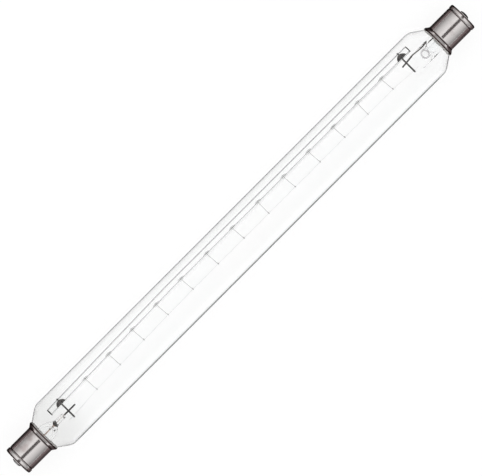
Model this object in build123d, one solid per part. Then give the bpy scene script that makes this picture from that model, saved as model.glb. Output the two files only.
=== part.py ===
from build123d import *
import os
from math import atan, cos, pi, radians, sin, tan

# Clear double-ended tubular filament lamp with 15 mm shell caps, in millimetres.
# The lamp lies along X with its centre at the origin, the support rod on the +Y side and +Z up.
# "Left" is the -X end and "right" the +X end.

# Whole lamp
overall_length = 300.0  # over the two end contacts
tube_diameter = 26.0  # glass, outside
glass_wall = 0.8

# Glass shoulders and necks
taper_angle = 35.0  # of a shoulder against the axis, in degrees
shoulder_round = 5.0
neck_length = 6.0  # straight part held in the cap

# Caps, drawn from thin sheet
cap_diameter = 15.0
cap_wall = 0.35
cap_height = 17.8  # skirt edge to crown face
skirt_flare = 1.3  # of the skirt past the barrel, on each side
skirt_height = 2.5
skirt_lip = 0.9  # straight rim of the flared skirt
skirt_clearance = 0.1  # skirt edge to glass shoulder
crown_swell = 0.15  # of the crown past the barrel, on each side
crown_height = 2.4  # middle of the groove to the crown face
crown_bevel = 0.6
groove_width = 0.8  # rolled groove between barrel and crown
groove_depth = 0.3
cement_length = 5.0  # along the neck
cement_thickness = 0.55  # between neck and cap
cement_setback = 0.5  # skirt edge to cement

# End contacts, solder buttons in the hole in the crown
contact_diameter = 5.2
contact_flat = 3.0
contact_height = 1.2
contact_draft = 0.2  # taper of the button's side
contact_edge = 0.6  # height of its sloping edge
contact_hole = 2.4
contact_plug = 0.6  # how far the solder stands through on the inside

# Stems, glass tubes flared into the necks and pressed flat at the inner end
stem_diameter = 8.6
stem_wall = 0.9
stem_reach = 13.1  # skirt edge to the inner end of the press
press_thickness = 2.7
press_length = 5.7
press_flatten = 3.0  # length over which the round tube goes flat
press_edge = 0.5  # bevel round the end of the press
flare_angle = 35.0
flare_rim = 1.2  # straight rim fused to the inside of the neck

# Exhaust tube, in the right stem
exhaust_diameter = 3.2
exhaust_wall = 0.7
exhaust_offset = 0.0  # from the axis, in the press
exhaust_length = 7.5
exhaust_tip = 2.5
exhaust_seat = 0.8  # length fused into the press
pump_hole = 1.2

# Lead wires, in three lengths welded end to end
lead_sides = 12
inner_lead_diameter = 0.8
seal_wire_diameter = 0.6
outer_lead_diameter = 0.6
inner_lead_seat = 1.0  # length held in the press
left_lead_overrun = 4.4  # free end past the post
right_lead_overrun = 2.8
left_lead_offset = 0.0  # the left lead runs along the axis
right_lead_offset = 3.0  # where the right lead leaves the press into the stem
right_press_offset = 3.7  # where it enters the press
right_free_offset = 3.1  # at its free end
weld_straight = 0.5  # straight end of each length at its welds
lead_cover = 0.6  # solder over the end of the outer lead

# Support rod, a slim glass tube, straight from the right end and bent slightly inwards near the left
rod_diameter = 3.6
rod_wall = 0.5
rod_offset = 7.45
rod_straight = 160.0
rod_bend = 1.3  # degrees
rod_left_overhang = 7.1  # past the posts
rod_right_overhang = 5.3
rod_edge = 0.2  # fire-polished bevel of the ends

# Posts, the stiff cross wires that carry the rod and clamp the filament's ends
post_diameter = 0.8
post_sides = 12
left_post_gap = 3.1  # press to post
right_post_gap = 4.0
post_proud = 0.4  # past the far side of the rod
bead_length = 5.2  # dab of cement that holds the post in the rod's bore
bead_height = 2.3  # from the side of the bore that is nearest to the axis
bead_clearance = 0.02  # to the bore
clamp_leg = 3.2
clamp_clearance = 0.02
left_clamp_offset = -3.3
right_clamp_offset = -1.8

# Filament and its support hooks
filament_diameter = 0.32
filament_drop = 8.35  # rod's axis to filament, the same at every hook
filament_sag = 0.5
filament_tail = 3.0
filament_sides = 6
hook_wire = 0.2
hook_sides = 6
hook_eye_radius = 0.46
hook_eye_corners = 5
hook_seat = 1.6  # length fused into the rod
hook_count = 13
hook_first = 16.3  # left post to first hook
hook_last = 13.8  # last hook to right post

# Stations along the axis, measured from the centre
half_length = overall_length / 2
crown_face = half_length - contact_height
skirt_edge = crown_face - cap_height
barrel_start = skirt_edge + skirt_height
groove_station = crown_face - crown_height
press_end = skirt_edge - stem_reach
press_base = press_end + press_length
stem_base = press_base + press_flatten
left_post_x = left_post_gap - press_end
right_post_x = press_end - right_post_gap

# Radii and levels that follow from the sizes above
tube_radius = tube_diameter / 2
cap_radius = cap_diameter / 2
skirt_diameter = cap_diameter + 2 * skirt_flare
crown_diameter = cap_diameter + 2 * crown_swell
neck_diameter = cap_diameter - 2 * (cap_wall + cement_thickness)
neck_radius = neck_diameter / 2
neck_bore = neck_radius - glass_wall
crown_radius = crown_diameter / 2
skirt_radius = skirt_diameter / 2
hole_radius = contact_hole / 2
shoulder_at_skirt = skirt_radius - cap_wall - skirt_clearance
taper = radians(taper_angle)
shoulder_x = skirt_edge - (tube_radius - shoulder_at_skirt) / tan(taper)
neck_foot = shoulder_x + (tube_radius - neck_radius) / tan(taper)
neck_end = neck_foot + neck_length
stem_radius = stem_diameter / 2
rod_radius = rod_diameter / 2
rod_bore = rod_radius - rod_wall
rod_left_x = left_post_x - rod_left_overhang
rod_right_x = right_post_x + rod_right_overhang
rod_bend_x = rod_right_x - rod_straight
clamp_radius = (post_diameter + filament_diameter) / 2 + clamp_clearance
rod_level = clamp_radius
hook_pitch = (right_post_x - hook_last - left_post_x - hook_first) / (hook_count - 1)
hook_stations = [left_post_x + hook_first + i * hook_pitch for i in range(hook_count)]


def turn(points, rounds=None):
    """Solid turned about the lamp's axis under an outline of points, with given corner radii."""
    outline = FilletPolyline(*points, radius=rounds) if rounds else Polyline(*points)
    first, last = points[0], points[-1]
    closing = Polyline(last, (last[0], 0), (first[0], 0), first)
    return revolve(make_face(outline.edges() + closing.edges()), Axis.X)


def rod_along_x(start, length, diameter):
    """Plain round bar along the lamp's axis."""
    bar = Cylinder(diameter / 2, length, align=(Align.CENTER, Align.CENTER, Align.MIN))
    return Pos(start, 0, 0) * Rot(0, 90, 0) * bar


def wire(points, diameter, sides):
    """Thin wire along straight runs with mitred bends, its section a polygon of so many sides."""
    path = Polyline(*points)
    section = RegularPolygon(diameter / 2, sides)
    return sweep(Plane(origin=path @ 0, z_dir=path % 0) * section, path, transition=Transition.RIGHT)


def rod_axis(x):
    """Distance of the support rod's axis from the lamp's axis at a station."""
    return rod_offset - max(rod_bend_x - x, 0) * tan(radians(rod_bend))


def filament_axis(x):
    """Distance of the filament from the lamp's axis at a hook's station."""
    return rod_axis(x) - filament_drop


def at_left(piece):
    """A piece of the right end turned round to the left end."""
    return Rot(0, 0, 180) * piece


# Glass envelope: barrel, two shoulders and two necks of one drawn tube
def envelope_blank(inset):
    """Envelope filled solid, with every face set in by the inset."""
    shift = inset * tan(taper / 2)
    half = [
        (shoulder_x - shift, tube_radius - inset),
        (neck_foot - shift, neck_radius - inset),
        (neck_end, neck_radius - inset),
    ]
    mirrored = [(-x, r) for x, r in reversed(half)]
    corner = shoulder_round - inset
    return turn(mirrored + half, [0, corner, corner, 0])


def glass_envelope():
    """Hollow envelope, open at both necks."""
    return envelope_blank(0) - envelope_blank(glass_wall)


# Caps: flared skirt, barrel, rolled groove and crown
def cap_blank(inset):
    """Right cap filled solid, with its sheet set in by the inset."""
    fall = atan((skirt_radius - cap_radius) / (skirt_height - skirt_lip))
    shift = inset * tan(fall / 2)
    points = [
        (skirt_edge, skirt_radius - inset),
        (skirt_edge + skirt_lip - shift, skirt_radius - inset),
        (barrel_start - shift, cap_radius - inset),
        (groove_station - groove_width / 2, cap_radius - inset),
        (groove_station, cap_radius - groove_depth - inset),
        (groove_station + groove_width / 2, crown_radius - inset),
        (crown_face - crown_bevel, crown_radius - inset),
        (crown_face - inset, crown_radius - crown_bevel),
        (crown_face - inset, hole_radius),
    ]
    return turn(points)


def cap_shell():
    """Right cap shell, with the hole for the contact in its crown."""
    hole = rod_along_x(skirt_edge, cap_height, contact_hole)
    return cap_blank(0) - cap_blank(cap_wall) - hole


def capping_cement():
    """Cement that fills the room between the right neck, the shoulder and the cap."""
    start = skirt_edge + cement_setback
    band = rod_along_x(start, neck_foot + cement_length - start, skirt_diameter)
    return (cap_blank(cap_wall) & band) - envelope_blank(0)


def contact():
    """Right solder button, plugged through the hole in the crown."""
    return turn(
        [
            (crown_face - cap_wall - contact_plug, hole_radius),
            (crown_face, hole_radius),
            (crown_face, contact_diameter / 2),
            (half_length - contact_edge, contact_diameter / 2 - contact_draft),
            (half_length, contact_flat / 2),
        ]
    )


# Stems: flared tube with a flat press
def stem_blank(inset, start):
    """Flared tube of the right stem filled solid, with its wall set in by the inset."""
    flare = radians(flare_angle)
    shift = inset * tan(flare / 2)
    rim_start = neck_end - flare_rim
    flare_start = rim_start - (neck_bore - stem_radius) / tan(flare)
    return turn(
        [
            (start, stem_radius - inset),
            (flare_start + shift, stem_radius - inset),
            (rim_start + shift, neck_bore - inset),
            (neck_end, neck_bore - inset),
        ]
    )


def stem():
    """Right stem, with its press lying flat in the XY plane."""
    half = press_thickness / 2
    jaw = Polyline(
        (stem_base, stem_radius),
        (press_base, half),
        (press_end + press_edge, half),
        (press_end, half - press_edge),
        (press_end, stem_radius),
        close=True,
    )
    cut = extrude(Plane.XZ * make_face(jaw), stem_radius, both=True)
    return stem_blank(0, press_end) - stem_blank(stem_wall, stem_base) - cut - mirror(cut, Plane.XY)


def exhaust_tube():
    """Exhaust tube of the right stem, drawn off to a closed tip inside the cap."""
    radius = exhaust_diameter / 2
    bore = radius - exhaust_wall
    outside = turn([(0, radius), (exhaust_length, radius), (exhaust_length + exhaust_tip, exhaust_wall)])
    inside = turn([(0, bore), (exhaust_length, bore), (exhaust_length + exhaust_tip / 2, exhaust_wall / 4)])
    return Pos(stem_base - exhaust_seat, exhaust_offset, 0) * (outside - inside)


def pump_way():
    """Way from the exhaust tube through the press into the bulb."""
    run = rod_along_x(press_base, stem_base - press_base, pump_hole)
    across = Pos(press_base, 0, 0) * Cylinder(pump_hole / 2, stem_diameter)
    return Pos(0, exhaust_offset, 0) * (run + across)


# Lead wires: each end has an inner lead, a seal wire in the press and an outer lead
def lead_length(start, end, diameter):
    """One length of a lead, with its two ends straight along the lamp's axis."""
    straight = weld_straight if end[0] > start[0] else -weld_straight
    points = [start, (start[0] + straight, start[1]), (end[0] - straight, end[1]), end]
    return wire(points, diameter, lead_sides)


def lead_wires(free_x, free_offset, press_offset, stem_offset):
    """Inner lead, seal wire and outer lead of the right end, before the inner lead is notched for the post."""
    free_end = (free_x, free_offset)
    press_weld = (press_end + inner_lead_seat, press_offset)
    stem_weld = (stem_base, stem_offset)
    contact_end = (half_length - lead_cover, 0)
    return [
        lead_length(press_weld, free_end, inner_lead_diameter),
        lead_length(press_weld, stem_weld, seal_wire_diameter),
        lead_length(stem_weld, contact_end, outer_lead_diameter),
    ]


# Filament mount: posts, rod, hooks and filament
def post(x, clamp_offset):
    """Cross wire through the rod, folded back over the filament's end."""
    top = rod_axis(x) + rod_radius + post_proud
    fold = clamp_offset - clamp_radius
    path = [(top, clamp_radius), (fold, clamp_radius), (fold, -clamp_radius), (fold + clamp_leg, -clamp_radius)]
    return wire([(x, y, z) for y, z in path], post_diameter, post_sides)


def support_hook(x):
    """Thin wire fused into the rod, with an open eye bent round the filament."""
    points = [(x, rod_axis(x) - rod_radius + hook_seat, hook_eye_radius)]
    step = 2 * pi / (hook_eye_corners + 1)
    reach = hook_eye_radius / cos(step / 2)
    for i in range(hook_eye_corners):
        turned = (i + 0.5) * step
        points.append((x, filament_axis(x) - reach * sin(turned), reach * cos(turned)))
    return wire(points, hook_wire, hook_sides)


def rod_blank(radius):
    """Support rod filled solid, with the given radius."""
    stations = (rod_right_x, rod_bend_x, rod_left_x)
    path = Polyline(*[(x, rod_axis(x), rod_level) for x in stations])
    section = Plane(origin=path @ 0, z_dir=path % 0) * Circle(radius)
    return sweep(section, path, transition=Transition.RIGHT)


def support_rod(wires):
    """Slim glass tube with a hole for each wire that is fused into it."""
    rod = rod_blank(rod_radius)
    ends = rod.edges().filter_by(GeomType.CIRCLE).sort_by(Axis.X)
    rod = chamfer([ends[0], ends[-1]], rod_edge) - rod_blank(rod_bore)
    for piece in wires:
        rod -= piece
    return rod


def post_bead(x):
    """Domed dab of cement in the rod's bore, round the post."""
    foot = rod_axis(x) - rod_bore
    half = bead_length / 2
    round_side = EllipticalCenterArc((x, foot), half, bead_height, arc_size=180)
    dome = make_face(round_side + Line((x - half, foot), (x + half, foot)))
    return extrude(dome, rod_diameter, both=True) & rod_blank(rod_bore - bead_clearance)


def filament():
    """Filament coil as its outer tube, clamped at the posts and swagged from hook to hook."""
    points = [(left_post_x - filament_tail, left_clamp_offset), (left_post_x + post_diameter, left_clamp_offset)]
    for i, x in enumerate(hook_stations):
        if i > 0:
            points.append((x - hook_pitch / 2, filament_axis(x - hook_pitch / 2) - filament_sag))
        points.append((x, filament_axis(x)))
    points.append((right_post_x - post_diameter, right_clamp_offset))
    points.append((right_post_x + filament_tail, right_clamp_offset))
    return wire(points, filament_diameter, filament_sides)


# All pieces by name
parts = {"glass_envelope": glass_envelope(), "exhaust_tube": exhaust_tube(), "filament": filament()}
parts["left_post"] = post(left_post_x, left_clamp_offset)
parts["right_post"] = post(right_post_x, right_clamp_offset)
parts["left_post_bead"] = post_bead(left_post_x) - parts["left_post"]
parts["right_post_bead"] = post_bead(right_post_x) - parts["right_post"]

right_stem = stem() - exhaust_tube() - pump_way()
left_stem = Rot(90, 0, 0) * stem()
left_free_x = -left_post_x - left_lead_overrun
right_free_x = right_post_x - right_lead_overrun
left_leads = lead_wires(left_free_x, -left_lead_offset, -left_lead_offset, -left_lead_offset)
right_leads = lead_wires(right_free_x, right_free_offset, right_press_offset, right_lead_offset)
for side, place, stem_glass, leads in (
    ("left", at_left, left_stem, left_leads),
    ("right", Part, right_stem, right_leads),
):
    for lead in leads:
        stem_glass -= lead
    parts[f"{side}_stem"] = place(stem_glass)
    parts[f"{side}_inner_lead"] = place(leads[0]) - parts[f"{side}_post"]
    parts[f"{side}_seal_wire"] = place(leads[1])
    parts[f"{side}_outer_lead"] = place(leads[2])
    parts[f"{side}_cap_shell"] = place(cap_shell())
    parts[f"{side}_capping_cement"] = place(capping_cement())
    parts[f"{side}_contact"] = place(contact() - leads[2])

hooks = [support_hook(x) for x in hook_stations]
parts.update({f"support_hook_{i:02d}": hook for i, hook in enumerate(hooks, 1)})
parts["support_rod"] = support_rod([parts["left_post"], parts["right_post"], *hooks])

os.makedirs("parts", exist_ok=True)
for name, shape in parts.items():
    export_step(shape, f"parts/{name}.step")
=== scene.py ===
"""Looks of a clear double-ended tubular filament lamp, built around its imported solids."""

import logging
import math
from collections.abc import Mapping, Sequence
from dataclasses import dataclass, replace
from enum import Enum
from typing import NamedTuple

import bmesh
import bpy
from mathutils import Matrix, Vector

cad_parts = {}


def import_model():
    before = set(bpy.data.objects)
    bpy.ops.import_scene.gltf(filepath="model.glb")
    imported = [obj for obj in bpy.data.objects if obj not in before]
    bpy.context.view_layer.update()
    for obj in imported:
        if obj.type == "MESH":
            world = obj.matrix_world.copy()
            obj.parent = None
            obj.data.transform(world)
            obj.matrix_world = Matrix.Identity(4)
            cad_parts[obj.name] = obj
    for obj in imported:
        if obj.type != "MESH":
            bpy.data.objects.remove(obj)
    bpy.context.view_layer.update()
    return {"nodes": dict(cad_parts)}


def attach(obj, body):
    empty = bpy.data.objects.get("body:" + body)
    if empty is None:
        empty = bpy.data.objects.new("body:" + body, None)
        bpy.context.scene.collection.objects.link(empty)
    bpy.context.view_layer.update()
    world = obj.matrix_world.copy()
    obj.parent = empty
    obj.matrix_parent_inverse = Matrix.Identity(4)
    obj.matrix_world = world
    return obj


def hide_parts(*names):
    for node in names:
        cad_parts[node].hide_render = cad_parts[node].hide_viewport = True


LOG = logging.getLogger("tubular_lamp")
BODY = "root"
MM = 0.001
MERGE = 0.0004
ROUND_STEPS = 8
CENTRE = (0.0, 0.0, 0.0)
ALONG_X = (1.0, 0.0, 0.0)
ALONG_Z = (0.0, 0.0, 1.0)
FROM_CANE = (0.0, -1.0, 0.0)
Colour = tuple[float, float, float]
Span = tuple[float, float]
Floats = Sequence[float]
Socket = bpy.types.NodeSocket
Mesh = bmesh.types.BMesh


class End(Enum):
    """The lamp's two ends, each with the sign of its side of the origin."""

    LEFT = -1
    RIGHT = 1

    @property
    def label(self) -> str:
        """Word that begins the names of this end's pieces."""
        return self.name.lower()


# -------- finishes


def grey(share: float) -> tuple[float, float, float, float]:
    """A neutral colour from black, 0, to white, 1."""
    return (share, share, share, 1.0)


class Board:
    """Node tree of a material or of the world, with short ways to lay out its nodes."""

    def __init__(self, tree: bpy.types.NodeTree) -> None:
        """Takes up the tree that gets the nodes."""
        self.tree = tree

    def fill(self, node: bpy.types.Node, feeds: Mapping[str | int, object]) -> None:
        """Sets or links inputs of a node.

        Args:
            node: The node.
            feeds: For each input a plain value, or the output that gives it.
        """
        for key, value in feeds.items():
            if isinstance(value, Socket):
                self.tree.links.new(value, node.inputs[key])
            else:
                node.inputs[key].default_value = value

    def node(
        self, kind: str, feeds: Mapping[str | int, object] | None = None, **settings: object
    ) -> bpy.types.NodeOutputs:
        """Adds a node.

        Args:
            kind: Blender's name of the node type.
            feeds: What its inputs get.
            settings: Properties of the node to set.

        Returns:
            The new node's outputs.
        """
        made = self.tree.nodes.new(kind)
        for key, value in settings.items():
            setattr(made, key, value)
        self.fill(made, feeds or {})
        return made.outputs

    def math(self, operation: str, first: Socket, second: Socket | float = 0.0) -> Socket:
        """Works out one value from two, by Blender's name of the operation."""
        return self.node("ShaderNodeMath", {0: first, 1: second}, operation=operation)["Value"]

    def range(self, factor: Socket, low: float, high: float) -> Socket:
        """Value from low to high as a factor goes from 0 to 1."""
        feeds = {"Value": factor, "To Min": low, "To Max": high}
        return self.node("ShaderNodeMapRange", feeds)["Result"]

    def part_of(self, vector: Socket, axis: str) -> Socket:
        """One part, X, Y or Z, of a vector."""
        return self.node("ShaderNodeSeparateXYZ", {"Vector": vector})[axis]


class ShaderBoard(Board):
    """Node tree of one material."""

    def __init__(self, name: str) -> None:
        """Starts a material that has only its surface shader.

        Args:
            name: Name of the material.
        """
        self.material = bpy.data.materials.new(name)
        self.material.use_nodes = True
        super().__init__(self.material.node_tree)
        self.surface = next(n for n in self.tree.nodes if n.type == "BSDF_PRINCIPLED")
        place = self.node("ShaderNodeTexCoord")
        self.coordinates, self.normal = place["Object"], place["Normal"]

    def set(self, **sockets: object) -> None:
        """Sets or links the surface shader's own sockets, named with _ for each space."""
        self.fill(self.surface, {key.replace("_", " "): value for key, value in sockets.items()})

    def noise(self, grain: Floats, detail: float) -> Socket:
        """Noise on the piece's own coordinates.

        Args:
            grain: Grains a metre along X, Y and Z.
            detail: Octaves of finer noise.

        Returns:
            The noise's factor, about 0.5 in the mean.
        """
        feeds = {"Vector": self.coordinates, "Scale": grain}
        place = self.node("ShaderNodeMapping", feeds)["Vector"]
        feeds = {"Vector": place, "Scale": 1.0, "Detail": detail}
        return self.node("ShaderNodeTexNoise", feeds)["Fac"]

    def band(self, factor: Socket, low: float, high: float) -> Socket:
        """Value that goes smoothly from 0 to 1 as a factor goes from low to high."""
        feeds = {"Value": factor, "From Min": low, "From Max": high}
        return self.node("ShaderNodeMapRange", feeds, interpolation_type="SMOOTHSTEP")["Result"]

    def blend(self, factor: Socket, first: Colour | Socket, second: Colour) -> Socket:
        """Colour between two colours.

        Args:
            factor: 0 for the first colour, 1 for the second.
            first: A colour, or the output that gives it.
            second: The other colour.

        Returns:
            The mixed colour.
        """
        start = first if isinstance(first, Socket) else (*first, 1.0)
        feeds = {"Factor": factor, 6: start, 7: (*second, 1.0)}
        return self.node("ShaderNodeMix", feeds, data_type="RGBA")[2]

    def mottle(self, grain: float, detail: float, spread: Span, tones: Sequence[Colour]) -> Socket:
        """Colours the surface in soft patches of two colours.

        Args:
            grain: Grains a metre.
            detail: Octaves of finer noise.
            spread: Noise that gives each colour.
            tones: The colours.

        Returns:
            The noise that the patches follow.
        """
        noise = self.noise((grain, grain, grain), detail)
        self.set(Base_Color=self.blend(self.band(noise, *spread), *tones))
        return noise

    def outside(self) -> Socket:
        """1 on faces that look away from the lamp's middle, and 0 on those that look inwards."""
        feeds = {0: self.coordinates, 1: self.normal}
        away = self.node("ShaderNodeVectorMath", feeds, operation="DOT_PRODUCT")["Value"]
        return self.band(away, 0.0, 0.003)

    def from_station(self, station: float) -> Socket:
        """Distance along the lamp's axis from a station, in metres."""
        away = self.math("SUBTRACT", self.part_of(self.coordinates, "X"), station)
        return self.math("ABSOLUTE", away)

    def rings(self, marks: Sequence[Span]) -> Socket:
        """1 in narrow rings round both ends of the lamp, and 0 elsewhere.

        Args:
            marks: Distance of each ring from the lamp's middle and half its width, in metres.

        Returns:
            The rings, with soft edges.
        """
        axial = self.from_station(0.0)
        found = None
        for station, half in marks:
            away = self.math("ABSOLUTE", self.math("SUBTRACT", axial, station))
            ring = self.band(away, half, 0.4 * half)
            found = ring if found is None else self.math("MAXIMUM", found, ring)
        return found

    def bump(self, height: Socket, depth: float) -> None:
        """Gives the surface a relief from a height of 0 to 1, with its depth in metres."""
        feeds = {"Height": height, "Strength": 1.0, "Distance": depth}
        self.set(Normal=self.node("ShaderNodeBump", feeds)["Normal"])


@dataclass(frozen=True)
class Finish:
    """A surface finish that the lamp's pieces share."""

    name: str
    slot: str

    def lay_out(self, board: ShaderBoard) -> None:
        """Lays out the finish's nodes; each finish has its own."""
        raise NotImplementedError

    def material(self) -> bpy.types.Material:
        """The finish's material, made at its first use."""
        made = bpy.data.materials.get(self.name)
        if made is None:
            board = ShaderBoard(self.name)
            self.lay_out(board)
            made = board.material
        return made


@dataclass(frozen=True)
class DrawnGlass(Finish):
    """Clear drawn glass, with painted shade where it is seen edge on and at cut ends, and on some
    pieces greyer towards an end.

    Stations and depths are in metres, and edge counts from 0, seen flat on, to 1, seen edge on.
    """

    tint: Colour = (1.0, 1.0, 1.0)
    shade: Colour = (0.993, 0.997, 0.997)
    glint: float = 0.35
    bending: float = 1.5
    wave_depth: float = 0.000002
    smoke: Colour = (0.05, 0.048, 0.047)
    edge: Span = (0.15, 0.55)
    upper_side: float = 1.0
    lower_side: float = 0.0
    skin_only: bool = False
    shoulder: Span = (0.1185, 0.1225)
    shoulder_share: float = 0.5
    haze: Colour | None = None
    haze_middle: float = 0.012
    haze_reach: Span = (0.114, 0.138)
    cut_ends: Span | None = None
    cut_depth: float = 0.0002

    def lay_out(self, board: ShaderBoard) -> None:
        """Lays out clear glass with drawing waves, the haze towards the ends, and the painted shade
        over it.
        """
        cloud = board.band(board.noise((12.0, 90.0, 90.0), 2.0), 0.35, 0.65)
        clear = board.blend(cloud, self.tint, self.shade)
        if self.haze is not None:
            mist = board.band(board.from_station(self.haze_middle), *self.haze_reach)
            clear = board.blend(mist, clear, self.haze)
        # Painted shade: darker where the glass is seen edge on, weighted to one side by the
        # normal's Y, standing in for dark surroundings seen in the glass.
        facing = board.node("ShaderNodeLayerWeight")["Facing"]
        upper = board.band(board.part_of(board.normal, "Y"), -0.3, 0.5)
        side = board.range(upper, self.lower_side, self.upper_side)
        painted_shade = board.math("MULTIPLY", board.band(facing, *self.edge), side)
        if self.skin_only:
            painted_shade = board.math("MULTIPLY", painted_shade, board.outside())
            slope = board.band(board.from_station(0.0), *self.shoulder)
            painted_shade = board.math("MULTIPLY", painted_shade, board.range(slope, 1.0, self.shoulder_share))
        # Painted shade at the cane's cut ends.
        if self.cut_ends is not None:
            middle, half = self.cut_ends
            ends = board.band(board.from_station(middle), half, half + self.cut_depth)
            painted_shade = board.math("MAXIMUM", painted_shade, ends)
        board.set(Base_Color=board.blend(painted_shade, clear, self.smoke), Roughness=0.0)
        board.set(IOR=self.bending, Transmission_Weight=1.0, Specular_Tint=grey(self.glint))
        board.bump(board.noise((4.0, 260.0, 260.0), 2.0), self.wave_depth)


@dataclass(frozen=True)
class PlatedSheet(Finish):
    """Nickel-plated drawn sheet, with lines of the drawing die, tarnish, and painted shade in dark
    rings at the skirt, the groove and the crown's edge.
    """

    bright: Colour = (0.725, 0.69, 0.68)
    tarnish: Colour = (0.56, 0.50, 0.49)
    burnt: Colour = (0.075, 0.052, 0.05)
    skirt_rings: Sequence[Span] = ((0.1314, 0.0007), (0.1332, 0.0005))
    crown_rings: Sequence[Span] = ((0.1462, 0.0004), (0.1483, 0.00045))
    line_depth: float = 0.0000012

    def lay_out(self, board: ShaderBoard) -> None:
        """Lays out the plating, its stains, the painted shade rings and the die lines."""
        stain = board.band(board.noise((160.0, 160.0, 160.0), 6.0), 0.48, 0.72)
        plating = board.blend(stain, self.bright, self.tarnish)
        # Painted shade: dark rings at the skirt's edges, the groove and the crown's rounded edge,
        # on outward faces only.
        rings = board.rings((*self.skirt_rings, *self.crown_rings))
        rings = board.math("MULTIPLY", rings, board.outside())
        board.set(Base_Color=board.blend(rings, plating, self.burnt), Metallic=1.0)
        lines = board.noise((9000.0, 120.0, 120.0), 3.0)
        board.set(Roughness=board.range(lines, 0.12, 0.2))
        board.bump(lines, self.line_depth)


@dataclass(frozen=True)
class Solder(Finish):
    """Dull, slightly pitted solder."""

    bright: Colour = (0.34, 0.33, 0.33)
    dull: Colour = (0.15, 0.14, 0.14)
    pit_depth: float = 0.00008

    def lay_out(self, board: ShaderBoard) -> None:
        """Lays out mottled solder with soft pits."""
        pits = board.mottle(900.0, 5.0, (0.35, 0.7), (self.bright, self.dull))
        board.set(Roughness=board.range(pits, 0.3, 0.55), Metallic=1.0)
        board.bump(pits, self.pit_depth)


@dataclass(frozen=True)
class MountWire(Finish):
    """Drawn wire with patchy oxide."""

    bare: Colour
    oxide: Colour
    metal: float = 1.0

    def lay_out(self, board: ShaderBoard) -> None:
        """Lays out wire with oxide patches."""
        patch = board.mottle(700.0, 4.0, (0.38, 0.62), (self.bare, self.oxide))
        board.set(Roughness=board.range(patch, 0.35, 0.6), Metallic=self.metal)


@dataclass(frozen=True)
class FusedStain(Finish):
    """Matt oxide taken up by glass that was worked hot, or a matt dark colour on a contact."""

    deep: Colour
    thin: Colour
    cover: float = 1.0

    def lay_out(self, board: ShaderBoard) -> None:
        """Lays out a mottled, more or less see-through stain."""
        board.mottle(800.0, 3.0, (0.35, 0.7), (self.deep, self.thin))
        board.set(Roughness=0.8, Specular_IOR_Level=0.1, Alpha=self.cover)


@dataclass(frozen=True)
class CappingCement(Finish):
    """Baked cement, matt and granular."""

    pale: Colour = (0.92, 0.91, 0.88)
    baked: Colour = (0.86, 0.84, 0.79)
    grain_depth: float = 0.0001

    def lay_out(self, board: ShaderBoard) -> None:
        """Lays out granular cement."""
        grain = board.mottle(1400.0, 6.0, (0.35, 0.7), (self.pale, self.baked))
        board.set(Roughness=0.9)
        board.bump(grain, self.grain_depth)


# smoke is the colour of the painted shade at the glass's edges.
GLASS = DrawnGlass(
    "drawn_glass",
    "clear_glass",
    smoke=(0.03, 0.031, 0.031),
    edge=(0.675, 0.77),
    upper_side=0.6,
    lower_side=1.0,
    skin_only=True,
    haze=(0.93, 0.932, 0.929),
)
CANE_GLASS = DrawnGlass(
    "cane_glass", "clear_glass", wave_depth=0.0000005, cut_ends=(-0.00135, 0.1199)
)
STEM_GLASS = DrawnGlass(
    "stem_glass",
    "clear_glass",
    bending=1.33,
    smoke=(0.45, 0.43, 0.44),
    edge=(0.5, 0.95),
    lower_side=1.0,
)
PLATING = PlatedSheet("nickel_plating", "cap_metal")
SOLDER = Solder("contact_solder", "solder")
# The right contact, matt and much darker than the left one.
DARK_SOLDER = FusedStain(
    "contact_solder_burnt", "solder", (0.018, 0.015, 0.014), (0.03, 0.026, 0.025)
)
POST_WIRE = MountWire(
    "oxidised_wire", "nickel_wire", (0.05, 0.044, 0.041), (0.022, 0.019, 0.018), 0.3
)
COPPER_WIRE = MountWire("copper_wire_dull", "copper_wire", (0.62, 0.47, 0.40), (0.42, 0.30, 0.25))
BURNT_COPPER = MountWire(
    "copper_wire_burnt", "copper_wire", (0.11, 0.085, 0.075), (0.05, 0.038, 0.034), 0.4
)
HOOK_WIRE = MountWire("hook_wire_grey", "hook_wire", (0.45, 0.44, 0.435), (0.28, 0.275, 0.27))
COIL_WIRE = MountWire("coil_wire_grey", "tungsten", (0.34, 0.34, 0.34), (0.22, 0.22, 0.23))
POST_CEMENT = CappingCement(
    "dark_cement", "post_cement", (0.036, 0.027, 0.024), (0.018, 0.013, 0.012)
)
HOOK_STAIN = FusedStain("hook_stain", "hook_wire", (0.2, 0.2, 0.2), (0.32, 0.31, 0.31), 0.2)
BLOWN_STAIN = FusedStain(
    "blown_stain", "clear_glass", (0.25, 0.22, 0.24), (0.36, 0.32, 0.35), 0.36
)
CEMENT = CappingCement("baked_cement", "cement")


# -------- shaping


class Corner(NamedTuple):
    """A corner of a turned outline: station, radius and how far its sides are rounded off."""

    x: float
    r: float
    reach: float = 0.0


def full_turn(bm: Mesh, centre: Floats, axis: Floats, steps: int) -> None:
    """Sweeps an outline once round an axis, in so many steps, and joins the seam."""
    line, turn = bm.verts[:] + bm.edges[:], 2.0 * math.pi
    bmesh.ops.spin(bm, geom=line, cent=centre, axis=axis, angle=turn, steps=steps, use_merge=True)


def turned(outline: Sequence[Corner], closed: bool, steps: int) -> Mesh:
    """Turns an outline about the lamp's axis.

    Args:
        outline: Corners in order, in millimetres.
        closed: Whether the last corner joins the first; an open outline ends on the axis.
        steps: Faces round the axis.

    Returns:
        The turned body.
    """
    bm = bmesh.new()
    corners = [bm.verts.new((c.x, c.r, 0.0)) for c in outline]
    after = corners[1:] + corners[:1] if closed else corners[1:]
    for first, second in zip(corners, after):
        bm.edges.new((first, second))
    for vertex, corner in zip(corners, outline):
        if corner.reach > 0.0:
            round_off(bm, [vertex], corner.reach, ROUND_STEPS, "VERTICES")
    full_turn(bm, CENTRE, ALONG_X, steps)
    return bm


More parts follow.
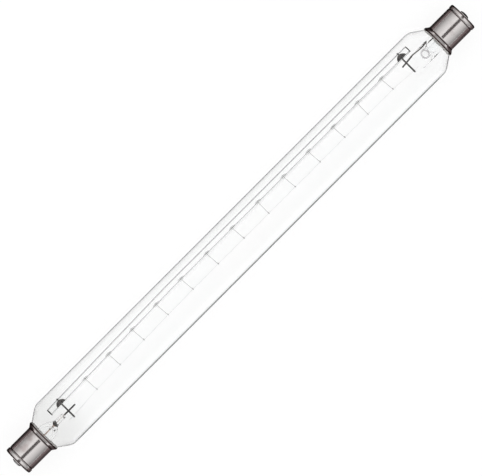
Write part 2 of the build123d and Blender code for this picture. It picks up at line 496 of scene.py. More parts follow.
def round_off(bm: Mesh, corners: Sequence, reach: float, steps: int, kind: str) -> None:
    """Rounds corners (VERTICES) or EDGES of a mesh, with so much taken off each side."""
    choices = {"offset_type": "OFFSET", "profile": 0.5, "affect": kind, "material": -1}
    bmesh.ops.bevel(bm, geom=corners, offset=reach, segments=steps, **choices)


class BentWire:
    """Round wire or cane, drawn out run by run from a ring of its section."""

    STRAIGHT = 0.002
    EASE_STEPS = 4

    def __init__(
        self, diameter: float, start: Floats, heading: Floats, sides: int = 12, closed: bool = True
    ) -> None:
        """Starts the wire with the ring of its first end.

        Args:
            diameter: Thickness of the wire.
            start: Middle of its first end.
            heading: Way it runs from there.
            sides: Faces round the wire.
            closed: Whether the first end is closed.
        """
        self.bm = bmesh.new()
        self.place = Vector(start)
        self.heading = Vector(heading).normalized()
        turn = self.heading.to_track_quat("Z", "Y").to_matrix().to_4x4()
        place = Matrix.Translation(self.place) @ turn
        ring = bmesh.ops.create_circle(
            self.bm, cap_ends=closed, segments=sides, radius=diameter / 2.0, matrix=place
        )
        self.front = sorted({e for v in ring["verts"] for e in v.link_edges}, key=lambda e: e.index)

    def run(self, length: float) -> "BentWire":
        """Draws a straight run.

        Args:
            length: Length of the run.

        Returns:
            The wire itself.
        """
        drawn = bmesh.ops.extrude_edge_only(self.bm, edges=self.front)["geom"]
        fresh = [g for g in drawn if isinstance(g, bmesh.types.BMEdge)]
        self.front = [edge for edge in fresh if len(edge.link_faces) == 1]
        step = self.heading * length
        bmesh.ops.translate(self.bm, verts=self._front_points(), vec=step)
        self.place = self.place + step
        return self

    def bend(
        self, axis: Floats, angle: float, radius: float, steps: int, drift: float = 0.0
    ) -> "BentWire":
        """Bends the wire by the right-hand rule.

        Args:
            axis: Direction of the axis that it is bent about.
            angle: Angle of the bend in radians.
            radius: Radius of the wire's middle line.
            steps: Faces along the bend.
            drift: How far it winds along the axis.

        Returns:
            The wire itself.
        """
        about = Vector(axis).normalized()
        centre = self.place + about.cross(self.heading).normalized() * radius
        line, rise = self._front_points() + self.front, about * (drift / steps)
        swept = bmesh.ops.spin(
            self.bm, geom=line, cent=centre, axis=about, dvec=rise, angle=angle, steps=steps
        )["geom_last"]
        self.front = [g for g in swept if isinstance(g, bmesh.types.BMEdge)]
        turn = Matrix.Rotation(angle, 3, about)
        self.heading = turn @ self.heading
        self.place = centre + turn @ (self.place - centre) + about * drift
        return self

    def to(self, point: Floats, radius: float = 0.6) -> "BentWire":
        """Bends towards a point and runs to it.

        Args:
            point: Where the run ends.
            radius: Radius of the bend.

        Returns:
            The wire itself.
        """
        for _ in range(2):
            aim = (Vector(point) - self.place).normalized()
            angle = self.heading.angle(aim)
            if angle > self.STRAIGHT:
                self.bend(self.heading.cross(aim), angle, radius, self.EASE_STEPS)
        return self.run((Vector(point) - self.place).length)

    def close(self) -> Mesh:
        """Closes the far end and gives the finished mesh."""
        bmesh.ops.contextual_create(self.bm, geom=self.front)
        return self.bm

    def _front_points(self) -> list[bmesh.types.BMVert]:
        """Points of the wire's front ring."""
        return list({v for e in self.front for v in e.verts})


def bead(centre: Floats, radii: Floats) -> Mesh:
    """A small melted bead.

    Args:
        centre: Middle of the bead.
        radii: Half sizes along X, Y and Z.

    Returns:
        The bead.
    """
    bm = bmesh.new()
    place = Matrix.Translation(centre) @ Matrix.Diagonal((*radii, 1.0))
    bmesh.ops.create_uvsphere(bm, u_segments=24, v_segments=16, radius=1.0, matrix=place)
    return bm


def hoop(centre: Floats, radius: float, thickness: float) -> Mesh:
    """A closed ring of round section that lies flat.

    Args:
        centre: Middle of the ring.
        radius: Radius of its middle line.
        thickness: Diameter of its section.

    Returns:
        The ring.
    """
    bm = bmesh.new()
    middle = Vector(centre)
    edge = Matrix.Translation(middle - Vector((0.0, radius, 0.0)))
    upright = Matrix.Rotation(math.pi / 2.0, 4, "Y")
    bmesh.ops.create_circle(bm, segments=12, radius=thickness / 2.0, matrix=edge @ upright)
    full_turn(bm, middle, ALONG_Z, steps=40)
    return bm


def add_mesh(bm: Mesh, other: Mesh) -> None:
    """Adds another mesh to a mesh.

    Args:
        bm: Mesh that grows.
        other: Mesh that is added; it is freed.
    """
    carrier = bpy.data.meshes.new("carrier")
    other.to_mesh(carrier)
    other.free()
    bm.from_mesh(carrier)
    bpy.data.meshes.remove(carrier)


def put(bm: Mesh, name: str, material: bpy.types.Material) -> bpy.types.Object:
    """Makes a mesh an object of the scene.

    Args:
        bm: Mesh in metres; it is freed.
        name: Name of the object.
        material: Material of its whole surface.

    Returns:
        The object.
    """
    mesh = bpy.data.meshes.new(name)
    bm.to_mesh(mesh)
    bm.free()
    mesh.materials.append(material)
    made = bpy.data.objects.new(name, mesh)
    bpy.context.scene.collection.objects.link(made)
    return made


def swing(bm: Mesh, angle: float, axis: str, about: Floats = CENTRE) -> None:
    """Turns a whole mesh about X, Y or Z through a point, by an angle in radians."""
    bmesh.ops.rotate(bm, cent=about, matrix=Matrix.Rotation(angle, 3, axis), verts=bm.verts[:])


def fit(
    bm: Mesh,
    name: str,
    finish: Finish,
    node: str = "",
    end: End | None = None,
    crease: float = 40.0,
    blocks_light: bool = True,
) -> None:
    """Makes a shaped mesh a piece of the lamp.

    Args:
        bm: Mesh in millimetres; it is freed.
        name: Name of the piece.
        finish: Finish of its whole surface.
        node: Solid that it stands for.
        end: End it is for, if it is shaped for the right end and named without its end.
        crease: Angle in degrees past which an edge stays sharp.
        blocks_light: Whether it casts a shadow.
    """
    if end is End.LEFT:
        swing(bm, math.pi, "Z")
    before = f"{end.label}_" if end else ""
    bmesh.ops.remove_doubles(bm, verts=bm.verts[:], dist=MERGE)
    bmesh.ops.recalc_face_normals(bm, faces=bm.faces[:])
    bmesh.ops.scale(bm, vec=(MM, MM, MM), verts=bm.verts[:])
    piece = put(bm, before + name, finish.material())
    piece.data.shade_smooth()
    piece.data.set_sharp_from_angle(angle=math.radians(crease))
    piece.visible_shadow = blocks_light
    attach(piece, BODY)
    if node:
        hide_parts(before + node)
    LOG.info("%s: %d faces", piece.name, len(piece.data.polygons))


# -------- lamp


SKIRT_EDGE = 131.0
NECK_RADIUS = 6.6


@dataclass
class GlassEnvelope:
    """The drawn glass tube with a tapered shoulder and a neck at each end."""

    tube_radius: float = 13.0
    wall: float = 0.8
    taper: float = math.radians(35.0)
    radius_at_skirt: float = 8.35
    shoulder_round: float = 5.0
    neck_round: float = 1.5
    neck_length: float = 6.0

    def half(self, inset: float) -> list[Corner]:
        """Outline of the right half, from the shoulder to the end of the neck.

        Args:
            inset: Depth below the outside of the glass.

        Returns:
            The corners in order.
        """
        slope, ease = math.tan(self.taper), math.tan(self.taper / 2.0)
        shift = inset * ease
        shoulder = SKIRT_EDGE - (self.tube_radius - self.radius_at_skirt) / slope
        foot = shoulder + (self.tube_radius - NECK_RADIUS) / slope
        reach = (self.shoulder_round - inset) * ease
        return [
            Corner(shoulder - shift, self.tube_radius - inset, reach),
            Corner(foot - shift, NECK_RADIUS - inset, (self.neck_round + inset) * ease),
            Corner(foot + self.neck_length, NECK_RADIUS - inset),
        ]

    def build(self) -> None:
        """Turns the envelope and fits it."""
        right = self.half(0.0) + self.half(self.wall)[::-1]
        left = [Corner(-c.x, c.r, c.reach) for c in reversed(right)]
        bm = turned(right + left, True, steps=128)
        fit(bm, "envelope", GLASS, "glass_envelope", blocks_light=False)


@dataclass
class Cap:
    """A shell cap of drawn sheet with its solder contact and its cement."""

    end: End
    solder: Finish
    skirt_lip: float = 0.9
    skirt_height: float = 2.5
    skirt_radius: float = 8.8
    radius: float = 7.5
    wall: float = 0.35
    groove_x: float = 146.4
    groove_half: float = 0.4
    groove_depth: float = 0.3
    crown_radius: float = 7.65
    crown_face: float = 148.8
    crown_round: float = 0.7
    hole_radius: float = 1.2
    button_radius: float = 2.6
    button_flat: float = 1.5
    button_top: float = 150.0
    button_side: float = 0.55
    button_taper: float = 0.15
    button_root: float = 0.6
    button_lift: float = 0.005
    clearance: float = 0.02
    neck_gap: float = 0.05
    cement_lip: float = 0.1
    cement_foot: float = 2.5
    cement_length: float = 5.0
    cement_inset: float = 0.15
    edge_round: float = 0.12

    def shell_line(self, inset: float) -> list[Corner]:
        """Outline of the sheet's outside, or of its inside at the sheet's thickness.

        Args:
            inset: Depth below the outside.

        Returns:
            The corners from skirt to contact hole.
        """
        back = inset / 3.0
        soft = self.edge_round + back
        return [
            Corner(SKIRT_EDGE, self.skirt_radius - inset, self.edge_round),
            Corner(SKIRT_EDGE + self.skirt_lip - back, self.skirt_radius - inset, 0.3),
            Corner(SKIRT_EDGE + self.skirt_height - back, self.radius - inset, 0.5),
            Corner(self.groove_x - self.groove_half, self.radius - inset, soft),
            Corner(self.groove_x, self.radius - self.groove_depth - inset, 0.2),
            Corner(self.groove_x + self.groove_half, self.crown_radius - inset, soft),
            Corner(self.crown_face - inset, self.crown_radius - inset, self.crown_round - inset),
            Corner(self.crown_face - inset, self.hole_radius),
        ]

    def button_line(self) -> list[Corner]:
        """Outline of the solder contact, from inside the crown to its flat top."""
        root = self.crown_face - self.wall - self.button_root
        base, top = self.crown_face + self.button_lift, self.button_top
        shank = self.hole_radius - self.clearance
        return [
            Corner(root, 0.0),
            Corner(root, shank),
            Corner(base, shank),
            Corner(base, self.button_radius, 0.1),
            Corner(top - self.button_side, self.button_radius - self.button_taper, 0.25),
            Corner(top, self.button_flat, 0.5),
            Corner(top, 0.0),
        ]

    def cement_line(self) -> list[Corner]:
        """Outline of the cement between the cap and the glass, clear of both."""
        lip, foot = SKIRT_EDGE + self.cement_lip, SKIRT_EDGE + self.cement_foot
        end = foot + self.cement_length
        neck = NECK_RADIUS + self.neck_gap
        bore = self.radius - self.wall - self.clearance
        rim = self.skirt_radius - self.wall - self.clearance
        return [
            Corner(lip, rim - 2.0 * self.clearance),
            Corner(foot, neck, 0.2),
            Corner(end, neck),
            Corner(end, bore),
            Corner(SKIRT_EDGE + self.skirt_height - self.cement_inset, bore, 0.3),
            Corner(SKIRT_EDGE + self.skirt_lip - self.cement_inset, rim, 0.2),
            Corner(lip, rim),
        ]

    def build(self) -> None:
        """Turns the shell, the contact and the cement and fits them."""
        loop = self.shell_line(0.0) + self.shell_line(self.wall)[::-1]
        fit(turned(loop, True, steps=128), "cap", PLATING, "cap_shell", self.end)
        button = turned(self.button_line(), False, steps=64)
        fit(button, "button", self.solder, "contact", self.end)
        cement = turned(self.cement_line(), True, steps=96)
        fit(cement, "cement_ring", CEMENT, "capping_cement", self.end)


@dataclass
class Stem:
    """A flared glass stem, pressed flat at its inner end around the lead wire."""

    end: End
    lead: Sequence[Span]
    finish: Finish
    splashes: Sequence[Floats]
    seal_diameter: float
    pressed_across: bool = False
    blown: bool = False
    radius: float = 4.3
    wall: float = 0.9
    press_end: float = 117.9
    stem_base: float = 126.6
    flatten_from: float = 121.9
    flatten_to: float = 128.4
    press_half: float = 1.35
    flare_start: float = 136.16
    rim_start: float = 138.3
    rim_end: float = 139.5
    rim_radius: float = 5.77
    inner_diameter: float = 0.8
    outer_diameter: float = 0.6
    contact_x: float = 149.4
    contact_bend: float = 2.0
    axis_x: float = 148.4
    press_marks: int = 20
    inner_flare: float = 0.2
    splash_form: Floats = (1.25, 1.0, 0.9)
    bore_foot: float = 1.0
    plain_bore: Sequence[Floats] = ((-1.0, 1.53, 0.8), (-1.2, 0.0))
    blown_bore: Sequence[Floats] = (
        (-1.1, 1.6, 0.8),
        (-2.2, 2.4, 0.7),
        (-4.6, 2.4, 1.2),
        (-5.7, 1.0, 0.6),
        (-5.8, 0.0),
    )
    blown_x: float = 123.4
    blown_radius: float = 2.0
    blown_rim: float = 0.8

    def bore_line(self) -> list[Corner]:
        """Outline of the bore's closed end, with the hole blown into the press where it has one."""
        foot = (self.bore_foot, self.radius - self.wall, 1.6)
        marks = self.blown_bore if self.blown else self.plain_bore
        return [Corner(self.stem_base + x, *rest) for x, *rest in (foot, *marks)]

    def glass(self) -> Mesh:
        """The stem's glass, turned round and then pinched flat."""
        pressed = self.flatten_to - self.press_end
        line = [Corner(self.press_end, 0.0), Corner(self.press_end, self.radius, 0.45)]
        for mark in range(1, self.press_marks + 1):
            line.append(Corner(self.press_end + mark * pressed / self.press_marks, self.radius))
        line += [
            Corner(self.flare_start, self.radius, 0.8),
            Corner(self.rim_start, self.rim_radius, 0.3),
            Corner(self.rim_end, self.rim_radius),
            Corner(self.rim_end, self.rim_radius - self.wall),
            Corner(self.rim_start + self.inner_flare, self.rim_radius - self.wall, 0.3),
            Corner(self.flare_start + self.inner_flare, self.radius - self.wall, 0.8),
        ]
        bm = turned(line + self.bore_line(), False, steps=64)
        span = self.flatten_to - self.flatten_from
        for vertex in bm.verts:
            share = min(max((self.flatten_to - vertex.co.x) / span, 0.0), 1.0)
            ease = share * share * (3.0 - 2.0 * share)
            vertex.co.z *= 1.0 + ease * (self.press_half / self.radius - 1.0)
        if not self.pressed_across:
            swing(bm, math.pi / 2.0, "X")
        return bm

    def build(self) -> None:
        """Fits the glass, the lead's three lengths, the weld splashes and the blown hole's rim."""
        fit(self.glass(), "stem_glass", STEM_GLASS, "stem", self.end, blocks_light=False)
        free, seat, base, far = (Vector((x, y, 0.0)) for x, y in self.lead)
        inner = BentWire(self.inner_diameter, free, seat - free).to(seat)
        fit(inner.close(), "inner_lead_round", POST_WIRE, "inner_lead", self.end)
        seal = BentWire(self.seal_diameter, seat, base - seat).to(base)
        fit(seal.close(), "seal_wire_round", self.finish, "seal_wire", self.end)
        outer = BentWire(self.outer_diameter, base, far - base).to(far)
        outer.to((self.axis_x, 0.0, 0.0)).to((self.contact_x, 0.0, 0.0), self.contact_bend)
        fit(outer.close(), "outer_lead_round", self.finish, "outer_lead", self.end)
        bm = bmesh.new()
        for x, y, size in self.splashes:
            add_mesh(bm, bead((x, y, 0.0), [form * size for form in self.splash_form]))
        fit(bm, "weld_splashes", POST_WIRE, end=self.end)
        if self.blown:
            rim = hoop((self.blown_x, 0.0, 0.0), self.blown_radius, self.blown_rim)
            fit(rim, "blown_rim", BLOWN_STAIN, end=self.end)


@dataclass
class ExhaustTube:
    """The tube in the right stem that the lamp was pumped through, drawn off to a tip."""

    start: float = 126.0
    length: float = 7.3
    tip: float = 2.5
    tip_radius: float = 0.6
    tip_bore: float = 0.15
    tip_dome: float = 0.02
    radius: float = 1.6
    bore: float = 0.9

    def build(self) -> None:
        """Turns the tube on the lamp's axis and fits it."""
        shoulder = self.start + self.length
        bore_end = shoulder + self.tip / 2.0
        line = [
            Corner(self.start, self.bore),
            Corner(self.start, self.radius, 0.2),
            Corner(shoulder, self.radius, 0.8),
            Corner(shoulder + self.tip, self.tip_radius, 0.4),
            Corner(shoulder + self.tip + self.tip_dome, 0.0),
        ]
        inside = [
            Corner(bore_end, 0.0),
            Corner(bore_end, self.tip_bore),
            Corner(shoulder, self.bore, 0.6),
            Corner(self.start, self.bore),
        ]
        bm = turned(line, False, steps=48)
        add_mesh(bm, turned(inside, False, steps=48))
        fit(bm, "exhaust_glass", GLASS, "exhaust_tube", blocks_light=False)


@dataclass
class FilamentMount:
    """The glass cane, its posts and hooks, and the filament that they carry."""

    left_post_x: float = -114.8
    right_post_x: float = 113.9
    cane_diameter: float = 3.6
    cane_wall: float = 0.5
    cane_offset: float = 7.45
    cane_level: float = 0.58
    cane_left: float = -121.9
    cane_right: float = 119.2
    cane_bend_x: float = -40.8
    cane_bend: float = math.radians(1.3)
    cane_bend_radius: float = 60.0
    cane_rounding: float = 0.2
    post_diameter: float = 0.8
    post_proud: float = 0.4
    clamp_leg: float = 3.2
    clamp_radius: float = 0.58
    left_clamp: float = -3.3
    right_clamp: float = -1.8
    filament_drop: float = 8.35
    filament_sag: float = 0.12
    filament_tail: float = 3.0
    coil_radius: float = 0.14
    coil_wire: float = 0.028
    coil_turns: int = 37
    coil_steps: int = 8
    coil_doublings: int = 5
    hook_wire: float = 0.2
    hook_eye: float = 0.46
    hook_drift: float = 0.4
    hook_wrap: float = math.radians(330.0)
    hook_seat: float = 1.6
    hook_first: float = 16.3
    hook_last: float = 13.8
    hook_spread: float = 1.2
    hook_leans: Floats = (3, 3, 4, 4, 5, 4, 4, -1, 5, 4, 4, -2, 5)
    stain_seat: float = 0.95
    stain_sizes: Sequence[Floats] = ((1.2, 0.42, 0.4), (2.0, 0.6, 0.5))

    def cane_y(self, x: float) -> float:
        """Distance of the cane's middle line from the lamp's axis at a station."""
        return self.cane_offset - max(self.cane_bend_x - x, 0.0) * math.tan(self.cane_bend)

    @property
    def hooks(self) -> list[float]:
        """Stations of the hooks, a little wider apart in the middle of the lamp."""
        first = self.left_post_x + self.hook_first
        last = self.right_post_x - self.hook_last
        count = len(self.hook_leans)
        shares = [i / (count - 1) for i in range(count)]
        shifts = [self.hook_spread * math.sin(2.0 * math.pi * s) for s in shares]
        return [first + s * (last - first) - shift for s, shift in zip(shares, shifts)]

    def build(self) -> None:
        """Fits the cane, the posts, the hooks and the filament."""
        self.build_cane()
        self.build_post(End.LEFT, self.left_post_x, self.left_clamp)
        self.build_post(End.RIGHT, self.right_post_x, self.right_clamp)
        for number, (x, lean) in enumerate(zip(self.hooks, self.hook_leans), 1):
            self.build_hook(number, x, math.radians(lean))
        self.build_filament()

    def cane_skin(self, diameter: float) -> BentWire:
        """Draws one skin of the slim tube from its right end, open at both ends.

        Args:
            diameter: Diameter of the skin.

        Returns:
            The skin.
        """
        start = (self.cane_right, self.cane_offset, self.cane_level)
        skin = BentWire(diameter, start, (-1.0, 0.0, 0.0), sides=64, closed=False)
        lead_in = self.cane_bend_radius * math.tan(self.cane_bend / 2.0)
        skin.run(self.cane_right - self.cane_bend_x - lead_in)
        skin.bend(ALONG_Z, self.cane_bend, self.cane_bend_radius, steps=6)
        return skin.run((self.cane_bend_x - self.cane_left) / math.cos(self.cane_bend) - lead_in)

    def build_cane(self) -> None:
        """Joins the slim tube's two skins at their ends and rounds the ends."""
        skin = self.cane_skin(self.cane_diameter)
        add_mesh(skin.bm, self.cane_skin(self.cane_diameter - 2.0 * self.cane_wall).bm)
        bm = skin.bm
        rims = [e for e in bm.edges if e.is_boundary]
        for at_right in (True, False):
            loops = [e for e in rims if (e.verts[0].co.x > 0.0) is at_right]
            bmesh.ops.bridge_loops(bm, edges=loops)
        bmesh.ops.recalc_face_normals(bm, faces=bm.faces[:])
        round_off(bm, rims, self.cane_rounding, ROUND_STEPS // 2, "EDGES")
        fit(bm, "support_cane", CANE_GLASS, "support_rod", blocks_light=False)

    def build_post(self, end: End, x: float, clamp: float) -> None:
        """Bends one post round the filament's end.

        Args:
            end: End that the post is at.
            x: Station of the post.
            clamp: Distance of the filament's clamped end from the axis.
        """
        top = self.cane_y(x) + self.cane_diameter / 2.0 + self.post_proud
        start = (x, top, self.clamp_radius)
        wire = BentWire(self.post_diameter, start, FROM_CANE, sides=16).run(top - clamp)
        wire.bend(ALONG_X, math.pi, self.clamp_radius, steps=12).run(self.clamp_leg)
        fit(wire.close(), f"{end.label}_post_wire", POST_WIRE, f"{end.label}_post")

    def build_hook(self, number: int, x: float, lean: float) -> None:
        """Bends one hook round the filament and stains the cane at its foot.

        Args:
            number: Number of the hook from the left.
            x: Station of the hook's foot.
            lean: Angle that it leans towards the right end.
        """
        foot = self.cane_y(x) - self.cane_diameter / 2.0
        eye_y = self.cane_y(x) - self.filament_drop
        top = foot + self.hook_seat
        start = (x, top, self.hook_eye)
        wire = BentWire(self.hook_wire, start, FROM_CANE, sides=8).run(top - eye_y)
        bm = wire.bend(ALONG_X, self.hook_wrap, self.hook_eye, 16, self.hook_drift).close()
        swing(bm, lean, "Z", (x, foot, 0.0))
        fit(bm, f"hook_{number:02d}", HOOK_WIRE, f"support_hook_{number:02d}")
        stain = bmesh.new()
        for size in self.stain_sizes:
            add_mesh(stain, bead((x, foot + self.stain_seat, self.cane_level), size))
        fit(stain, f"hook_stain_{number:02d}", HOOK_STAIN)

    def filament_knots(self) -> list[tuple[float, float, bool]]:
        """Where the filament is held, along the axis and from it, and whether by a hook."""
        held = [(h, self.cane_y(h) - self.filament_drop, True) for h in self.hooks]
        first = (self.left_post_x + self.post_diameter, self.left_clamp, False)
        last = (self.right_post_x - self.post_diameter, self.right_clamp, False)
        return [first, *held, last]

    def filament_y(self, x: float, knots: Sequence[tuple[float, float, bool]]) -> float:
        """Distance of the filament from the axis at a station.

        Args:
            x: Station along the lamp.
            knots: Where the filament is held.

        Returns:
            Its distance, with the swag between two hooks.
        """
        place = min(max(x, knots[0][0]), knots[-1][0])
        for (x0, y0, hook0), (x1, y1, hook1) in zip(knots, knots[1:]):
            if place <= x1:
                break
        share = (place - x0) / (x1 - x0)
        swag = self.filament_sag if hook0 and hook1 else 0.0
        return y0 + (y1 - y0) * share - swag * 4.0 * share * (1.0 - share)

    def build_filament(self) -> None:
        """Winds a length of the coil, repeats it end to end and hangs it along the hooks."""
        first = self.left_post_x - self.filament_tail
        length = self.right_post_x + self.filament_tail - first
        span = length / 2.0**self.coil_doublings
        steps = self.coil_turns * self.coil_steps
        bm = bmesh.new()
        start = Matrix.Translation((first, self.coil_radius, 0.0))
        ring = bmesh.ops.create_circle(bm, segments=4, radius=self.coil_wire / 2.0, matrix=start)
        line, rise = ring["verts"] + bm.edges[:], (span / steps, 0.0, 0.0)
        angle = 2.0 * math.pi * self.coil_turns
        bmesh.ops.spin(
            bm, geom=line, cent=CENTRE, axis=ALONG_X, dvec=rise, angle=angle, steps=steps
        )
        for _ in range(self.coil_doublings):
            copied = bmesh.ops.duplicate(bm, geom=bm.verts[:] + bm.edges[:] + bm.faces[:])["geom"]
            points = [g for g in copied if isinstance(g, bmesh.types.BMVert)]
            bmesh.ops.translate(bm, vec=(span, 0.0, 0.0), verts=points)
            span *= 2.0
        bmesh.ops.remove_doubles(bm, verts=bm.verts[:], dist=MERGE)
        bmesh.ops.holes_fill(bm, edges=[e for e in bm.edges if e.is_boundary], sides=4)
        knots = self.filament_knots()
        for vertex in bm.verts:
            vertex.co.y += self.filament_y(vertex.co.x, knots)
        fit(bm, "filament_coil", COIL_WIRE, "filament", crease=180.0)


# -------- studio


@dataclass(frozen=True)
class Card:
    """A card beside or above the lamp that shows only in its gloss, as a painted dark or grey
    reflection.
    """

    name: str
    along: Span
    across: Span
    grey: float
    level: float = -12.6
    tone: Colour = (1.0, 1.0, 1.0)


BESIDE_TUBE = (-127.0, 127.0)
BESIDE_CAP = (127.0, 215.0)


@dataclass
class Studio:
    """Pale floor, soft lights, side cards that show only as painted reflections, and the camera."""

    floor_level: float = -13.05
    floor_half: float = 4000.0
    floor_grey: float = 0.8
    floor_matt: float = 0.2
    floor_glow: float = 0.84
    camera_distance: float = 2800.0
    camera_aim: Floats = (0.37, 0.1, 0.0)
    camera_turn: float = math.radians(-45.0)
    bounces: int = 32
    frame_width: float = 227.4
    horizon: float = 0.28
    zenith: float = 1.05
    box_strength: float = 0.35
    box_size: Span = (1.1, 0.5)
    box_place: Span = (0.42, 0.8)
    # Cards seen only in reflections: painted dark reflections beside the tube.
    cards: Sequence[Card] = (
        Card("far_card", BESIDE_TUBE, (15.0, 450.0), 0.03),
        Card("near_card", BESIDE_TUBE, (-34.0, -15.0), 0.03),
    )
    # Cap cards: painted dark, grey and pinkish reflections in the caps, with a dark line from
    # overhead.
    cap_tone: Colour = (1.0, 0.8, 0.81)
    cap_cards: Sequence[Card] = (
        Card("cap_dark_card", BESIDE_CAP, (8.0, 40.0), 0.03),
        Card("cap_far_card", BESIDE_CAP, (40.0, 450.0), 0.2),
        Card("cap_near_card", BESIDE_CAP, (-40.0, -8.0), 0.09),
        Card("cap_grey_card", BESIDE_CAP, (-450.0, -40.0), 0.22),
        Card("cap_line_card", (141.0, 215.0), (-74.0, 40.0), 0.06, level=300.0),
    )

    def build(self) -> None:
        """Sets up everything round the lamp."""
        self.build_floor()
        for card in self.cards:
            self.build_card(card)
        for end in End:
            for card in self.cap_cards:
                along = tuple(sorted(end.value * x for x in card.along))
                named = f"{end.label}_{card.name}"
                self.build_card(replace(card, name=named, along=along, tone=self.cap_tone))
        self.build_lights()
        self.build_world()
        self.build_camera()
        scene = bpy.context.scene
        scene.view_settings.view_transform = "Standard"
        scene.cycles.max_bounces = scene.cycles.transmission_bounces = self.bounces

    def sheet(self, board: ShaderBoard, name: str, low: Floats, high: Floats) -> bpy.types.Object:
        """Lays a flat sheet of the studio.

        Args:
            board: Board of its material.
            name: Name of the sheet.
            low: Lowest corner in millimetres.
            high: Highest corner in millimetres.

        Returns:
            The sheet.
        """
        bm = bmesh.new()
        middle = (Vector(low) + Vector(high)) / 2.0 * MM
        half = (Vector(high) - Vector(low)) / 2.0 * MM
        place = Matrix.Translation(middle) @ Matrix.Diagonal((half.x, half.y, 1.0, 1.0))
        bmesh.ops.create_grid(bm, x_segments=1, y_segments=1, size=1.0, matrix=place)
        made = put(bm, name, board.material)
        return made

    def build_floor(self) -> None:
        """Lays the floor, white to the eye and in glass and metal, with the lamp's shadow kept."""
        half, level = self.floor_half, self.floor_level
        board = ShaderBoard("pale_floor")
        board.set(Base_Color=grey(self.floor_grey), Roughness=0.9, Specular_IOR_Level=0.0)
        rays = board.node("ShaderNodeLightPath")
        seen = board.math("MAXIMUM", rays["Is Camera Ray"], rays["Is Glossy Ray"])
        seen = board.math("MAXIMUM", seen, rays["Is Transmission Ray"])
        matt = board.node("ShaderNodeBsdfDiffuse", {"Color": grey(self.floor_matt)})["BSDF"]
        glow = board.node("ShaderNodeEmission", {"Strength": self.floor_glow})["Emission"]
        both = board.node("ShaderNodeAddShader", {0: matt, 1: glow})["Shader"]
        feeds = {"Fac": seen, 1: board.surface.outputs["BSDF"], 2: both}
        shown = board.node("ShaderNodeMixShader", feeds)["Shader"]
        output = next(n for n in board.tree.nodes if n.type == "OUTPUT_MATERIAL")
        board.fill(output, {"Surface": shown})
        self.sheet(board, "floor", (-half, -half, level), (half, half, level))

    def build_card(self, card: Card) -> None:
        """Lays one card.

        Args:
            card: Its place and its grey.
        """
        low, high = ((x, y, card.level) for x, y in zip(card.along, card.across))
        board = ShaderBoard(f"{card.name}_paper")
        board.set(Base_Color=grey(0.0), Roughness=1.0, Specular_IOR_Level=0.0)
        board.set(Emission_Color=(*card.tone, 1.0), Emission_Strength=card.grey)
        piece = self.sheet(board, card.name, low, high)
        # Seen only in glass and metal reflections: a painted reflection.
        piece.visible_camera = piece.visible_diffuse = False
        piece.visible_shadow = piece.visible_transmission = False

    def build_lights(self) -> None:
        """Hangs a weak soft box over each side of the lamp."""
        across, height = self.box_place
        length, width = self.box_size
        for name, side in (("left_box", 1.0), ("right_box", -1.0)):
            light = bpy.data.lights.new(name, "AREA")
            light.shape = "RECTANGLE"
            light.size, light.size_y = length, width
            light.energy = self.box_strength * math.pi * length * width
            box = bpy.data.objects.new(name, light)
            box.location = (0.0, side * across, height)
            box.rotation_euler = (-side * math.atan2(across, height), 0.0, 0.0)
            box.visible_glossy = False
            bpy.context.scene.collection.objects.link(box)

    def build_world(self) -> None:
        """Sets an even room light, brightest overhead, and white to the eye and through glass."""
        world = bpy.data.worlds.new("studio")
        world.use_nodes = True
        world.node_tree.nodes.clear()
        board = Board(world.node_tree)
        height = board.part_of(board.node("ShaderNodeTexCoord")["Generated"], "Z")
        strength = board.range(height, self.horizon, self.zenith)
        feeds = {"Color": grey(1.0), "Strength": strength}
        room = board.node("ShaderNodeBackground", feeds)["Background"]
        white = board.node("ShaderNodeBackground", {"Color": grey(1.0)})["Background"]
        rays = board.node("ShaderNodeLightPath")
        seen = board.math("MAXIMUM", rays["Is Camera Ray"], rays["Is Transmission Ray"])
        shown = board.node("ShaderNodeMixShader", {"Fac": seen, 1: room, 2: white})["Shader"]
        board.node("ShaderNodeOutputWorld", {"Surface": shown})
        bpy.context.scene.world = world

    def build_camera(self) -> None:
        """Hangs the camera high above the lamp, with its right end at the upper right."""
        lens = bpy.data.cameras.new("camera")
        lens.lens = lens.sensor_width * self.camera_distance / self.frame_width
        camera = bpy.data.objects.new("camera", lens)
        camera.location = (Vector(self.camera_aim) + Vector((0.0, 0.0, self.camera_distance))) * MM
        camera.rotation_euler = (0.0, 0.0, self.camera_turn)
        bpy.context.scene.collection.objects.link(camera)
        bpy.context.scene.camera = camera


def dress(solid: bpy.types.Object, finish: Finish) -> None:
    """Gives a solid that is shown as it is a finish.

    Args:
        solid: The solid's object.
        finish: Its finish.
    """
    solid.data.materials.clear()
    solid.data.materials.append(finish.material())
    LOG.info("%s: dressed as it is", solid.name)


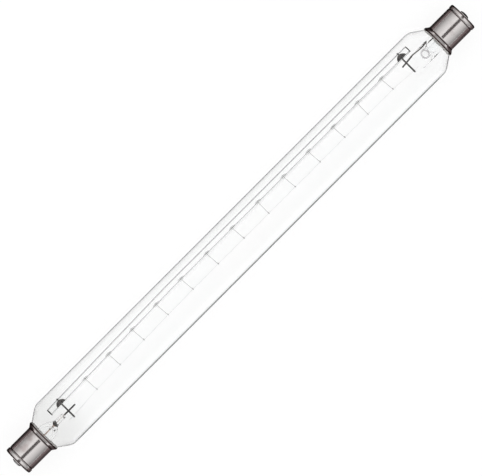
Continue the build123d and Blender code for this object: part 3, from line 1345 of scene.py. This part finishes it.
def main() -> None:
    """Builds the lamp and the studio in order."""
    logging.basicConfig(level=logging.INFO, format="%(name)s: %(message)s")
    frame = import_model()
    GlassEnvelope().build()
    for end, solder in ((End.LEFT, SOLDER), (End.RIGHT, DARK_SOLDER)):
        Cap(end, solder).build()
        dress(frame["nodes"][f"{end.label}_post_bead"], POST_CEMENT)
    left_lead = ((110.4, 0.0), (117.6, 0.0), (126.6, 0.0), (131.2, 0.0))
    large_splashes = ((123.6, 0.3, 0.85), (126.4, -0.1, 0.45), (125.1, 1.95, 0.5))
    small_splashes = ((124.8, -1.7, 0.3), (118.3, 0.4, 0.25), (118.5, -0.45, 0.25))
    splashes = large_splashes + small_splashes
    Stem(End.LEFT, left_lead, COPPER_WIRE, splashes, seal_diameter=0.3).build()
    right_lead = ((111.1, 3.1), (118.4, 3.85), (126.6, 3.0), (131.2, 2.7))
    Stem(
        End.RIGHT,
        right_lead,
        BURNT_COPPER,
        ((117.6, 3.8, 0.45),),
        seal_diameter=0.6,
        pressed_across=True,
        blown=True,
    ).build()
    ExhaustTube().build()
    FilamentMount().build()
    Studio().build()


if __name__ == "__main__":
    main()
